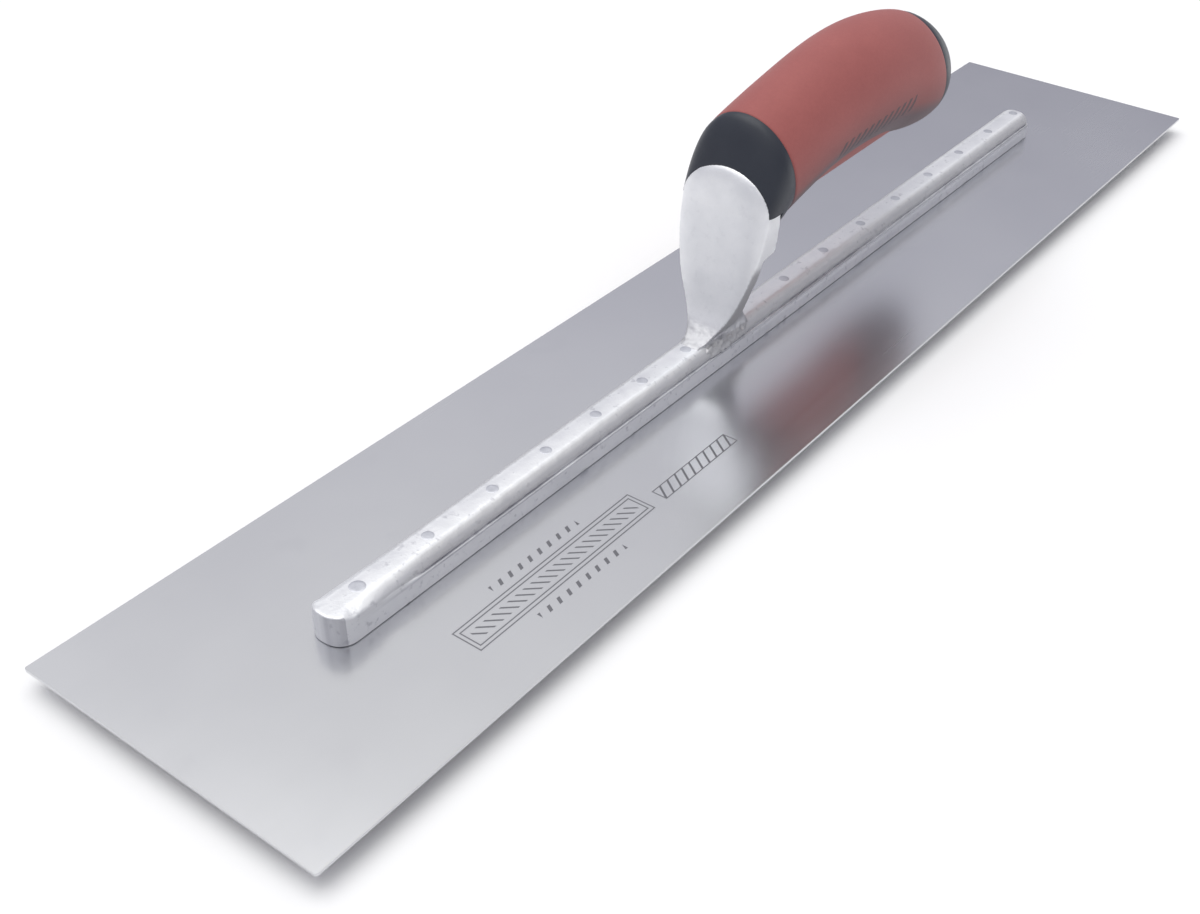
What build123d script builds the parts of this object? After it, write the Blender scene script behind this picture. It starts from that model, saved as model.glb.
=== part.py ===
from build123d import *
import os
from math import cos, pi, radians, sin

os.makedirs("parts", exist_ok=True)

# Long finishing trowel for concrete: sheet steel blade, cast aluminium
# mounting riveted to it, two-part handle bolted onto the casting's tang.
# X runs from toe to heel, Y across the blade, Z up from the sole.

# Blade
blade_length = 508.0
blade_width = 101.6
blade_thickness = 0.9
blade_corner_radius = 0.8

# Rivets: closer pitch in front of the shank, a wide gap under it
rivet_radius = 1.8
rivet_sole_radius = 2.7
toe_rivet_x = -190.6
toe_rivet_pitch = 25.6
toe_rivet_count = 3
mid_rivet_pitch = 22.9
mid_rivet_count = 4
rear_rivet_x = 10.0
rear_rivet_pitch = 26.0
rear_rivet_count = 7
heel_rivet_x = 189.8

# Bar of the mounting
bar_front_x = -203.6
bar_rear_x = 195.0
bar_base_half = 6.6
bar_shoulder_half = 5.9
bar_flat_half = 2.7
bar_top_z = 10.7
bar_ledge_z = 6.8
bar_ledge_drop = 0.3
bar_bead_sagitta = 0.85
bar_end_radius = 4.4

# Shank: height, front edge, half width, crown of the front face, back face
shank_stations = (
    (9.6, -45.0, 3.3, 0.3, -25.6),
    (11.2, -43.2, 4.0, 0.4, -26.5),
    (13.0, -40.2, 5.0, 0.5, -27.2),
    (16.0, -37.7, 6.7, 0.8, -28.0),
    (20.0, -36.0, 8.8, 1.2, -29.3),
    (26.0, -34.9, 11.2, 1.7, -30.4),
    (32.0, -33.8, 13.2, 2.1, -30.0),
    (39.0, -32.3, 14.8, 2.5, -28.6),
    (46.0, -30.9, 15.6, 2.8, -28.0),
    (54.0, -29.3, 15.9, 3.0, -27.6),
)

# Seat for the handle at the top of the shank
seat_face_x = -29.2
seat_back_x = -22.3
seat_centre_z = 52.6
seat_half_width = 16.0
seat_half_height = 13.6
seat_crown = 3.0
# share of the crown's depth, share of the seat's size
seat_crown_steps = ((0.0, 1.0), (0.3, 0.93), (0.6, 0.8), (0.85, 0.58), (1.0, 0.3))
seat_inner_half_width = 12.4
seat_inner_half_height = 10.0
seat_block_bottom_z = 39.0
seat_block_top_half = 15.7
seat_block_bottom_half = 14.6
seat_shelf_back_z = 52.7
seat_shelf_land = 3.0

# Web behind the shank
web_half_width = 4.0
web_foot_x = -17.0
web_top_x = -22.6
web_top_z = 41.0
web_waist_x = -24.6
web_waist_z = 20.0
web_inside_top_x = -31.0
web_inside_foot_x = -36.0
web_sink = 2.0

# Tang and handle fastening, on an axis rising gently to the rear
bolt_tilt = 5.0
bolt_start_x = -29.2
bolt_start_z = 55.0
tang_length = 50.0
tang_radius = 6.5
bolt_radius = 3.0
bolt_bore_radius = 3.3
bolt_head_radius = 5.0
bolt_head_height = 5.5
bolt_socket_across = 5.0
bolt_socket_depth = 3.2
bolt_thread_length = 22.0
head_seat_distance = 104.0
counterbore_radius = 7.0
flat_washer_radius = 6.4
flat_washer_thickness = 1.2
spring_washer_radius = 5.3
spring_washer_thickness = 1.6
spring_washer_gap = 1.2

# Handle envelope: a bent oval swelling whose tilt follows a quadratic
grip_start_x = -21.8
grip_start_z = 60.7
grip_length = 129.9
grip_tilt_start = 13.9
grip_tilt_rate = -3.7
grip_tilt_bend = -54.9
grip_half_neck = 16.9
grip_half_palm = 17.9
grip_palm_start = 0.20
grip_palm_end = 0.55
grip_height_ratio = 1.16
grip_dome_start = 0.68
sleeve_front = 0.04
sleeve_thickness = 3.2
sleeve_rear_x = 82.5
sleeve_rear_z = 65.5
sleeve_rear_tilt = 18.0
collar_bulge = 3.0
lug_room_margin = 10.0

# Larger than anything here, for cuts that run right through
big = 300.0

mounting_z = blade_thickness


def rivet_positions():
    """Rivet stations along the bar, toe to heel."""
    places = [toe_rivet_x + i * toe_rivet_pitch for i in range(toe_rivet_count)]
    last = places[-1]
    places += [last + (i + 1) * mid_rivet_pitch for i in range(mid_rivet_count)]
    places += [rear_rivet_x + i * rear_rivet_pitch for i in range(rear_rivet_count)]
    places.append(heel_rivet_x)
    return places


def grip_tilt(s):
    """Upward tilt of the handle axis, in degrees, at fraction s of its length."""
    return grip_tilt_start + grip_tilt_rate * s + grip_tilt_bend * s * s


def grip_centre(s):
    """Point on the handle axis, found by walking along its tilt."""
    steps = 60
    x = grip_start_x
    z = grip_start_z
    for i in range(steps):
        tilt = radians(grip_tilt((i + 0.5) * s / steps))
        x += cos(tilt) * grip_length * s / steps
        z += sin(tilt) * grip_length * s / steps
    return x, z


def grip_plane(s):
    """Plane across the handle; its local x is the object's Y."""
    x, z = grip_centre(s)
    tilt = radians(grip_tilt(s))
    return Plane(origin=(x, 0, z), x_dir=(0, 1, 0), z_dir=(cos(tilt), 0, sin(tilt)))


def grip_half_width(s):
    """Half width of the handle: slim neck, palm swell, rounded butt."""
    swell = (s - grip_palm_start) / (grip_palm_end - grip_palm_start)
    swell = min(max(swell, 0.0), 1.0)
    swell = (1 - cos(pi * swell)) / 2
    width = grip_half_neck + (grip_half_palm - grip_half_neck) * swell
    if s > grip_dome_start:
        reach = (s - grip_dome_start) / (1 - grip_dome_start)
        width *= (1 - reach * reach) ** 0.5
    return width


def grip_body(inset, start, end):
    """Lofted length of the handle envelope, shrunk by an inset all round."""
    stations = [start, 0.12, 0.20, 0.32, 0.44, 0.56, 0.68, 0.77, 0.84, 0.90, 0.94, 0.97, 0.988, end]
    stations = [s for s in stations if start <= s <= end]
    with BuildPart() as body:
        for s in sorted(set(stations)):
            half = grip_half_width(s)
            with BuildSketch(grip_plane(s)):
                Ellipse(half - inset, half * grip_height_ratio - inset)
        loft()
    return body.part


bolt_plane = Plane(
    origin=(bolt_start_x, 0, bolt_start_z),
    x_dir=(0, 1, 0),
    z_dir=(cos(radians(bolt_tilt)), 0, sin(radians(bolt_tilt))),
)


# ---------------------------------------------------------------- blade
with BuildPart() as blade:
    with BuildSketch(Plane.XY) as blade_outline:
        RectangleRounded(blade_length, blade_width, blade_corner_radius)
    extrude(amount=blade_thickness)
    with BuildSketch(Plane.XY) as sole_holes:
        with Locations(*[(x, 0) for x in rivet_positions()]):
            Circle(rivet_sole_radius)
    with BuildSketch(Plane.XY.offset(blade_thickness)) as top_holes:
        with Locations(*[(x, 0) for x in rivet_positions()]):
            Circle(rivet_radius)
    for lower, upper in zip(sole_holes.sketch.faces(), top_holes.sketch.faces()):
        loft(sections=[lower, upper], mode=Mode.SUBTRACT)

blade.part.label = "blade"
export_step(blade.part, "parts/blade.step")


# -------------------------------------------------------------- mounting
with BuildPart() as mounting:
    # Bar: flat lower sides, a small ledge, then a rounded top bead
    with BuildSketch(Plane.YZ.offset(bar_front_x)) as bar_section:
        with BuildLine() as bar_outline:
            Polyline(
                (-bar_flat_half, bar_top_z),
                (bar_flat_half, bar_top_z),
            )
            SagittaArc(
                (bar_flat_half, bar_top_z),
                (bar_shoulder_half, bar_ledge_z),
                -bar_bead_sagitta,
            )
            Polyline(
                (bar_shoulder_half, bar_ledge_z),
                (bar_base_half, bar_ledge_z - bar_ledge_drop),
                (bar_base_half, mounting_z),
                (-bar_base_half, mounting_z),
                (-bar_base_half, bar_ledge_z - bar_ledge_drop),
                (-bar_shoulder_half, bar_ledge_z),
            )
            SagittaArc(
                (-bar_shoulder_half, bar_ledge_z),
                (-bar_flat_half, bar_top_z),
                -bar_bead_sagitta,
            )
        make_face()
    extrude(amount=bar_rear_x - bar_front_x)
    bar_middle_x = (bar_front_x + bar_rear_x) / 2
    with BuildSketch(Plane.XY) as bar_plan:
        with Locations((bar_middle_x, 0)):
            RectangleRounded(bar_rear_x - bar_front_x, 2 * bar_base_half, bar_end_radius)
    extrude(amount=bar_top_z, mode=Mode.INTERSECT)

    # Shank: broad thumb face, crowned in front and flat behind
    for height, front_x, half, crown, back_x in shank_stations:
        with BuildSketch(Plane.XY.offset(height)) as shank_section:
            with BuildLine() as shank_outline:
                ThreePointArc((front_x, -half), (front_x - crown, 0), (front_x, half))
                Polyline((front_x, half), (back_x, half), (back_x, -half), (front_x, -half))
            make_face()
    loft()

    # Rounded top of the thumb face, and the cone the collar sits around
    for depth, scale in seat_crown_steps:
        with BuildSketch(Plane.YZ.offset(seat_face_x - seat_crown * depth)) as crown_section:
            with Locations((0, seat_centre_z)):
                Ellipse(seat_half_width * scale, seat_half_height * scale)
    loft()
    with BuildSketch(Plane.YZ.offset(seat_face_x)) as cone_front:
        with Locations((0, seat_centre_z)):
            Ellipse(seat_half_width, seat_half_height)
    with BuildSketch(Plane.YZ.offset(seat_back_x)) as cone_back:
        with Locations((0, seat_centre_z)):
            Ellipse(seat_inner_half_width, seat_inner_half_height)
    loft()

    # Seat block: side lugs under the handle
    with BuildSketch(Plane.YZ.offset(seat_face_x)) as block_section:
        with BuildLine() as block_outline:
            Polyline(
                (-seat_block_bottom_half, seat_block_bottom_z),
                (seat_block_bottom_half, seat_block_bottom_z),
                (seat_block_top_half, seat_shelf_back_z - seat_shelf_land),
                (seat_block_top_half, seat_shelf_back_z),
                (-seat_block_top_half, seat_shelf_back_z),
                (-seat_block_top_half, seat_shelf_back_z - seat_shelf_land),
                close=True,
            )
        make_face()
    extrude(amount=seat_back_x - seat_face_x)

    # Web joining seat block, shank and bar
    with BuildSketch(Plane.XZ) as web_side:
        with BuildLine() as web_outline:
            Polyline(
                (web_top_x, web_top_z),
                (web_inside_top_x, web_top_z),
                (web_inside_foot_x, bar_top_z - web_sink),
                (web_foot_x, bar_top_z - web_sink),
                (web_foot_x, bar_top_z),
            )
            ThreePointArc(
                (web_foot_x, bar_top_z),
                (web_waist_x, web_waist_z),
                (web_top_x, web_top_z),
            )
        make_face()
    extrude(amount=web_half_width, both=True)

    # Tang with its threaded end
    with BuildSketch(bolt_plane) as tang_section:
        Circle(tang_radius)
    extrude(amount=tang_length)
    with BuildSketch(bolt_plane.offset(tang_length - bolt_thread_length)) as thread_hole:
        Circle(bolt_radius)
    extrude(amount=bolt_thread_length, mode=Mode.SUBTRACT)

    # Rivet holes through the bar
    with BuildSketch(Plane.XY) as bar_holes:
        with Locations(*[(x, 0) for x in rivet_positions()]):
            Circle(rivet_radius)
    extrude(amount=bar_top_z, mode=Mode.SUBTRACT)

mounting.part.label = "mounting"
export_step(mounting.part, "parts/mounting.step")


# ---------------------------------------------------------------- rivets
with BuildPart() as blade_rivets:
    with BuildSketch(Plane.XY) as rivet_shafts:
        with Locations(*[(x, 0) for x in rivet_positions()]):
            Circle(rivet_radius)
    extrude(amount=bar_top_z)
    for x in rivet_positions():
        with Locations((x, 0, blade_thickness / 2)):
            Cone(rivet_sole_radius, rivet_radius, blade_thickness)

blade_rivets.part.label = "blade_rivets"
export_step(blade_rivets.part, "parts/blade_rivets.step")


# ---------------------------------------------------------------- handle
grip_outer = grip_body(0.0, sleeve_front, 0.997)
grip_spindle = grip_body(sleeve_thickness, sleeve_front, 0.97)
front_plane = grip_plane(sleeve_front)
rear_plane = Plane(
    origin=(sleeve_rear_x, 0, sleeve_rear_z),
    x_dir=(0, 1, 0),
    z_dir=(cos(radians(sleeve_rear_tilt)), 0, sin(radians(sleeve_rear_tilt))),
)

with BuildPart() as grip_sleeve:
    add(grip_outer)
    with BuildSketch(rear_plane):
        Rectangle(big, big)
    extrude(amount=big, mode=Mode.SUBTRACT)
    add(grip_spindle, mode=Mode.SUBTRACT)

grip_sleeve.part.label = "grip_sleeve"
export_step(grip_sleeve.part, "parts/grip_sleeve.step")

with BuildPart() as handle_core:
    # Collar: from the casting's oval to the start of the sleeve
    neck_x, neck_z = grip_centre(sleeve_front)
    neck_half = grip_half_width(sleeve_front)
    for blend in (0.0, 0.5, 1.0):
        bulge = collar_bulge * 4 * blend * (1 - blend)
        middle_x = seat_face_x + (neck_x - seat_face_x) * blend
        middle_z = seat_centre_z + (neck_z - seat_centre_z) * blend + bulge / 2
        wide = seat_half_width + (neck_half - seat_half_width) * blend + bulge / 4
        neck_high = neck_half * grip_height_ratio
        high = seat_half_height + (neck_high - seat_half_height) * blend + bulge / 2
        tilt = radians(grip_tilt(sleeve_front)) * blend
        collar_plane = Plane(
            origin=(middle_x, 0, middle_z), x_dir=(0, 1, 0), z_dir=(cos(tilt), 0, sin(tilt))
        )
        with BuildSketch(collar_plane) as collar_section:
            Ellipse(wide, high)
    loft()
    add(grip_outer)
    add(grip_sleeve.part, mode=Mode.SUBTRACT)
    # Room for the side lugs of the casting
    with BuildSketch(Plane.XZ) as lug_room:
        with BuildLine():
            Polyline(
                (seat_face_x - lug_room_margin, seat_block_bottom_z - lug_room_margin),
                (seat_back_x, seat_block_bottom_z - lug_room_margin),
                (seat_back_x, seat_shelf_back_z),
                (seat_face_x - lug_room_margin, seat_shelf_back_z),
                close=True,
            )
        make_face()
    extrude(amount=big, both=True, mode=Mode.SUBTRACT)
    # Bolt bore and the counterbore open at the butt
    with BuildSketch(bolt_plane):
        Circle(bolt_bore_radius)
    extrude(amount=head_seat_distance, mode=Mode.SUBTRACT)
    with BuildSketch(bolt_plane.offset(head_seat_distance)):
        Circle(counterbore_radius)
    extrude(amount=big, mode=Mode.SUBTRACT)
    add(mounting.part, mode=Mode.SUBTRACT)

handle_core.part.label = "handle_core"
export_step(handle_core.part, "parts/handle_core.step")


# ------------------------------------------------------------- fastening
spring_washer_distance = head_seat_distance + flat_washer_thickness
head_distance = spring_washer_distance + spring_washer_thickness

with BuildPart() as flat_washer:
    with BuildSketch(bolt_plane.offset(head_seat_distance)):
        Circle(flat_washer_radius)
        Circle(bolt_bore_radius, mode=Mode.SUBTRACT)
    extrude(amount=flat_washer_thickness)

flat_washer.part.label = "flat_washer"
export_step(flat_washer.part, "parts/flat_washer.step")

with BuildPart() as spring_washer:
    with BuildSketch(bolt_plane.offset(spring_washer_distance)):
        Circle(spring_washer_radius)
        Circle(bolt_bore_radius, mode=Mode.SUBTRACT)
        with Locations((0, spring_washer_radius)):
            Rectangle(spring_washer_gap, 2 * spring_washer_radius, mode=Mode.SUBTRACT)
    extrude(amount=spring_washer_thickness)

spring_washer.part.label = "spring_washer"
export_step(spring_washer.part, "parts/spring_washer.step")

with BuildPart() as handle_bolt:
    with BuildSketch(bolt_plane.offset(head_distance)):
        Circle(bolt_head_radius)
    extrude(amount=bolt_head_height)
    with BuildSketch(bolt_plane.offset(tang_length - bolt_thread_length + 2)):
        Circle(bolt_radius)
    extrude(amount=head_distance - tang_length + bolt_thread_length - 2)
    with BuildSketch(bolt_plane.offset(head_distance + bolt_head_height - bolt_socket_depth)):
        RegularPolygon(bolt_socket_across / 2, 6, major_radius=False)
    extrude(amount=bolt_socket_depth, mode=Mode.SUBTRACT)

handle_bolt.part.label = "handle_bolt"
export_step(handle_bolt.part, "parts/handle_bolt.step")
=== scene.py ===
import math

import bmesh
import bpy
from mathutils import Matrix, Vector, noise


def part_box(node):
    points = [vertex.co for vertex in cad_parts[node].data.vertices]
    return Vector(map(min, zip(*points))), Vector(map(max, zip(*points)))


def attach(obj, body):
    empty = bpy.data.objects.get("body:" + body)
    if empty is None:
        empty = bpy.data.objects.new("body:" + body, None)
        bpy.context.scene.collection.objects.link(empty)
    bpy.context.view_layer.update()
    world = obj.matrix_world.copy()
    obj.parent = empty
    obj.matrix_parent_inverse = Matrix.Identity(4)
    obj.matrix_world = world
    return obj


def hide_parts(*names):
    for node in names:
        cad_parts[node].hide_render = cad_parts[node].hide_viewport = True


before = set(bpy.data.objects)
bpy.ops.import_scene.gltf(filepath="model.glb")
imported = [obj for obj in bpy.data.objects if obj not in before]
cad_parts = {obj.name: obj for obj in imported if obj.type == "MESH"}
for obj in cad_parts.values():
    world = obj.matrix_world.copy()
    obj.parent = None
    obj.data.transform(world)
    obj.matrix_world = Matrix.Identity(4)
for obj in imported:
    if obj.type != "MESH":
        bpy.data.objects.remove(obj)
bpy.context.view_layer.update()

MM = 0.001

# ------------------------------------------------------------------ sizes, mm
BLADE_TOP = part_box("blade")[1][2] / MM
BAR_FRONT = -203.6
BAR_REAR = 195.0
BAR_HALF = 6.6
BAR_TOP = 10.7

TOE_RIVET = -190.6
TOE_PITCH = 25.6
MID_PITCH = 22.9
REAR_RIVET = 10.0
REAR_PITCH = 26.0
HEEL_RIVET = 189.8
RIVET_RADIUS = 1.8
RIVET_SOLE_RADIUS = 2.7

SEAT_X = -29.2
SEAT_BACK_X = -22.3
SEAT_Z = 52.6
SEAT_HALF_WIDTH = 16.0
SEAT_HALF_HEIGHT = 13.6
SHELF_Z = 52.7
LUG_BOTTOM_Z = 39.0

GRIP_START = (-21.8, 60.7)
GRIP_LENGTH = 129.9
GRIP_TILT = (13.9, -3.7, -54.9)
GRIP_NECK = 16.9
GRIP_PALM = 17.9
GRIP_RATIO = 1.16
GRIP_DOME = 0.68
SLEEVE_START = 0.04
REAR_PLANE_POINT = (82.5, 65.5)
REAR_PLANE_TILT = 18.0

BOLT_START = (-29.2, 55.0)
BOLT_TILT = 5.0
TANG_REACH = 50.0
TANG_RADIUS = 6.5
COUNTERBORE_RADIUS = 7.0
COUNTERBORE_REACH = 40.0
HEAD_SEAT = 104.0

PANEL_X = -145.0
PANEL_Y = -28.0
SMALL_PANEL_X = -85.0
SMALL_PANEL_Y = -30.5
MARK_X = 35.0
MARK_Z = 62.0
MARK_HALF = 23.0
MARK_RISE = 0.05

# where the finish of the casting and its painted shade change: from, to
SIDE_EDGE = 5.2
# LEDGE_LINE and LEDGE_FADE place the painted shade in the groove under the bead
LEDGE_LINE = 6.45
LEDGE_FADE = (-196.0, -165.0)
LOWER_SIDE = (6.4, 6.0)
BEAD_EDGE = 3.0
BEAD_FOOT = (6.7, 7.2)
BEAD_CROWN = (10.7, 10.1)
BEAD_FADE = (-198.5, -168.0)
NOSE_FACE_X = -200.6
NOSE_FACE_Z = 10.3
# NOSE_TURN sets the painted dark reflection round the nose's near corner
NOSE_TURN = (0.4, -1.4)
FLAT_EDGE = (2.8, 2.0)
FLAT_FLOOR = (10.4, 10.6)
FLAT_CEILING = (11.2, 11.0)
FOOT_PITS = (16.0, 10.0)

# how far the floor lies under the sole
FLOOR_DROP = 6.0

# ---------------------------------------------------------------- stage, m
FLOOR_REACH = 6.0
KEY_PLACE = (-0.3, 0.5, 2.9)
KEY_TARGET = (0, 0, 0.03)
KEY_SIZE = (3.0, 3.0)
KEY_POWER = 43
# height of the direction looked in, colour of the sky there
SKY = (
    (0.0, (0.33, 0.33, 0.37, 1)),
    (0.34, (0.37, 0.37, 0.44, 1)),
    (0.50, (0.66, 0.66, 0.735, 1)),
    (0.68, (0.82, 0.82, 0.84, 1)),
    (0.85, (1.06, 1.06, 1.05, 1)),
)
SKY_SIDE = (-0.7, 0.1)
SKY_SIDE_SHADE = 0.86
VIEW_PLACE = (-0.37834, -0.22373, 0.26080)
VIEW_TARGET = (-0.08810, -0.01979, 0.0009)
VIEW_ROLL = 1.8155
VIEW_LENS = 44.76
VIEW_SHIFT = -0.05


# ------------------------------------------------------------ mesh utilities
def add_object(name, verts, faces, smooth=True, sharp=35):
    """A linked mesh object from points in millimetres."""
    mesh = bpy.data.meshes.new(name)
    mesh.from_pydata([tuple(c * MM for c in v) for v in verts], [], faces)
    mesh.validate()
    work = bmesh.new()
    work.from_mesh(mesh)
    bmesh.ops.remove_doubles(work, verts=work.verts, dist=1e-7)
    bmesh.ops.recalc_face_normals(work, faces=work.faces)
    work.to_mesh(mesh)
    work.free()
    obj = bpy.data.objects.new(name, mesh)
    bpy.context.scene.collection.objects.link(obj)
    if smooth:
        smooth_shade(obj, sharp)
    return obj


def loft_rings(rings, cap_start=True, cap_end=True):
    """Points and faces of a closed skin through rings of equal count."""
    verts = [p for ring in rings for p in ring]
    count = len(rings[0])
    faces = []
    for r in range(len(rings) - 1):
        a = r * count
        b = a + count
        for i in range(count):
            j = (i + 1) % count
            faces.append((a + i, a + j, b + j, b + i))
    if cap_start:
        verts.append(tuple(sum(c) / count for c in zip(*rings[0])))
        hub = len(verts) - 1
        faces += [(hub, (i + 1) % count, i) for i in range(count)]
    if cap_end:
        verts.append(tuple(sum(c) / count for c in zip(*rings[-1])))
        hub = len(verts) - 1
        a = (len(rings) - 1) * count
        faces += [(hub, a + i, a + (i + 1) % count) for i in range(count)]
    return verts, faces


def baked_copy(obj, name):
    """A plain mesh object with the modifiers of obj applied; obj is removed."""
    graph = bpy.context.evaluated_depsgraph_get()
    mesh = bpy.data.meshes.new_from_object(obj.evaluated_get(graph), depsgraph=graph)
    bpy.data.objects.remove(obj)
    mesh.name = name
    done = bpy.data.objects.new(name, mesh)
    bpy.context.scene.collection.objects.link(done)
    return done


def smooth_shade(obj, sharp):
    """Smooth shading that breaks at edges steeper than sharp degrees."""
    mesh = obj.data
    mesh.polygons.foreach_set("use_smooth", [True] * len(mesh.polygons))
    mesh.set_sharp_from_angle(angle=math.radians(sharp))


def cut_away(obj, cutter):
    """Exact boolean difference, applied."""
    tool = obj.modifiers.new("cut", "BOOLEAN")
    tool.operation = "DIFFERENCE"
    tool.solver = "EXACT"
    tool.object = cutter
    done = baked_copy(obj, obj.name)
    bpy.data.objects.remove(cutter)
    return done


def box_points(low, high):
    x0, y0, z0 = low
    x1, y1, z1 = high
    verts = [(x0, y0, z0), (x1, y0, z0), (x1, y1, z0), (x0, y1, z0),
             (x0, y0, z1), (x1, y0, z1), (x1, y1, z1), (x0, y1, z1)]
    faces = [(0, 3, 2, 1), (4, 5, 6, 7), (0, 1, 5, 4), (1, 2, 6, 5), (2, 3, 7, 6), (3, 0, 4, 7)]
    return verts, faces


def ease(t):
    """Smooth step from 0 to 1, held beyond both ends."""
    t = min(max(t, 0.0), 1.0)
    return t * t * (3 - 2 * t)


def rise(value, ramp):
    """Smooth step that starts at ramp's first value and takes its second."""
    return ease((value - ramp[0]) / ramp[1])


def mix(a, b, t):
    return a + (b - a) * t


def tube_ring(centre, tilt, radius, steps):
    """Circle in the plane across an axis that rises by tilt from X."""
    x, z = centre
    ring = []
    for k in range(steps):
        a = 2 * math.pi * k / steps
        rise = radius * math.sin(a)
        ring.append((x - math.sin(tilt) * rise, radius * math.cos(a), z + math.cos(tilt) * rise))
    return ring


def bolt_tube(distances, radius, steps):
    """Skin of a round bar along the bolt's axis."""
    tilt = math.radians(BOLT_TILT)
    rings = []
    for t in distances:
        centre = (BOLT_START[0] + math.cos(tilt) * t, BOLT_START[1] + math.sin(tilt) * t)
        rings.append(tube_ring(centre, tilt, radius, steps))
    return loft_rings(rings)


def along(stations, value, column):
    """Smoothly interpolated column of a station list, keyed by its first."""
    for i in range(len(stations) - 1):
        if value <= stations[i + 1][0]:
            break
    p1, p2 = stations[i], stations[i + 1]
    p0 = stations[max(i - 1, 0)]
    p3 = stations[min(i + 2, len(stations) - 1)]
    t = min(max((value - p1[0]) / (p2[0] - p1[0]), 0.0), 1.0)
    span = p2[0] - p1[0]
    m1 = (p2[column] - p0[column]) / (p2[0] - p0[0]) * span if p2[0] != p0[0] else 0.0
    m2 = (p3[column] - p1[column]) / (p3[0] - p1[0]) * span if p3[0] != p1[0] else 0.0
    t2, t3 = t * t, t * t * t
    return ((2 * t3 - 3 * t2 + 1) * p1[column] + (t3 - 2 * t2 + t) * m1
            + (3 * t2 - 2 * t3) * p2[column] + (t3 - t2) * m2)


# ----------------------------------------------------------- handle envelope
def grip_tilt(s):
    return math.radians(GRIP_TILT[0] + GRIP_TILT[1] * s + GRIP_TILT[2] * s * s)


SPINE_STEPS = 600


def walk_spine():
    x, z = GRIP_START
    places = [(x, z)]
    for i in range(SPINE_STEPS):
        tilt = grip_tilt((i + 0.5) / SPINE_STEPS)
        x += math.cos(tilt) * GRIP_LENGTH / SPINE_STEPS
        z += math.sin(tilt) * GRIP_LENGTH / SPINE_STEPS
        places.append((x, z))
    return places


SPINE = walk_spine()


def grip_centre(s):
    place = min(max(s, 0.0), 1.0) * SPINE_STEPS
    i = min(int(place), SPINE_STEPS - 1)
    f = place - i
    return tuple(mix(a, b, f) for a, b in zip(SPINE[i], SPINE[i + 1]))


def grip_half_width(s):
    swell = (1 - math.cos(math.pi * min(max((s - 0.20) / 0.35, 0.0), 1.0))) / 2
    width = mix(GRIP_NECK, GRIP_PALM, swell)
    if s > GRIP_DOME:
        reach = (s - GRIP_DOME) / (1 - GRIP_DOME)
        width *= math.sqrt(max(1 - reach * reach, 0.0))
    return width


def grip_point(s, turn, inset=0.0):
    """Point on the handle at fraction s and angle turn, moved in by inset."""
    x, z = grip_centre(s)
    tilt = grip_tilt(s)
    wide = max(grip_half_width(s) - inset, 0.02)
    high = max(grip_half_width(s) * GRIP_RATIO - inset, 0.02)
    y = wide * math.cos(turn)
    rise = high * math.sin(turn)
    return (x - math.sin(tilt) * rise, y, z + math.cos(tilt) * rise)


def rear_side(point):
    """Distance of a point behind the rear edge of the sleeve."""
    tilt = math.radians(REAR_PLANE_TILT)
    return ((point[0] - REAR_PLANE_POINT[0]) * math.cos(tilt)
            + (point[2] - REAR_PLANE_POINT[1]) * math.sin(tilt))


def rear_station(turn):
    """Fraction of the handle where this line of it meets the sleeve's end."""
    low, high = 0.5, 0.999
    for _ in range(40):
        middle = (low + high) / 2
        if rear_side(grip_point(middle, turn)) < 0:
            low = middle
        else:
            high = middle
    return (low + high) / 2


# ---------------------------------------------------------------- mounting
# height, front edge, half width, crown, back face, flatness of the crown
SHANK = (
    (8.4, -48.5, 2.8, 0.2, -24.6, 2.0),
    (10.5, -46.6, 3.3, 0.3, -25.6, 2.0),
    (11.2, -44.2, 3.9, 0.4, -26.3, 2.2),
    (12.1, -42.1, 4.5, 0.4, -26.9, 2.6),
    (13.6, -39.9, 5.4, 0.4, -27.2, 3.0),
    (16.0, -37.7, 6.8, 0.5, -27.4, 3.6),
    (20.0, -36.0, 8.8, 0.6, -28.2, 4.4),
    (26.0, -34.9, 11.2, 0.9, -28.9, 5.0),
    (32.0, -33.8, 13.2, 1.5, -28.7, 5.2),
    (39.0, -32.2, 14.8, 2.2, -28.4, 5.2),
    (46.0, -30.7, 15.7, 2.8, -28.0, 5.0),
    (52.6, -29.3, 16.0, 3.1, -27.6, 4.6),
)


FACE_STEPS = 60
EDGE_STEPS = 4
BACK_STEPS = 20


def shank_ring(height, lug):
    """One level of the shank, front face first, anticlockwise from above."""
    if height <= SEAT_Z:
        front, half, crown, back, flat = (along(SHANK, height, c) for c in range(1, 6))
    else:
        rise = min((height - SEAT_Z) / SEAT_HALF_HEIGHT, 0.9995)
        arch = math.sqrt(1 - rise * rise)
        front, half = SEAT_X, SEAT_HALF_WIDTH * arch
        crown, back, flat = 3.1 * arch ** 1.2, -27.0, mix(4.6, 2.4, rise)
    if lug:
        back = SEAT_BACK_X
    ring = []
    for i in range(FACE_STEPS + 1):
        y = half * math.cos(math.pi * i / FACE_STEPS)
        ring.append((front - crown * (1 - abs(y / half) ** flat), y, height))
    back_half = half * (0.985 if height <= SEAT_Z + 1.5 else 0.8)
    for i in range(1, EDGE_STEPS + 1):
        t = i / EDGE_STEPS
        ring.append((mix(front, back, t), -mix(half, back_half, t), height))
    for i in range(1, BACK_STEPS):
        ring.append((back, mix(-back_half, back_half, i / BACK_STEPS), height))
    for i in range(EDGE_STEPS):
        t = i / EDGE_STEPS
        ring.append((mix(back, front, t), mix(back_half, half, t), height))
    return ring


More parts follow.
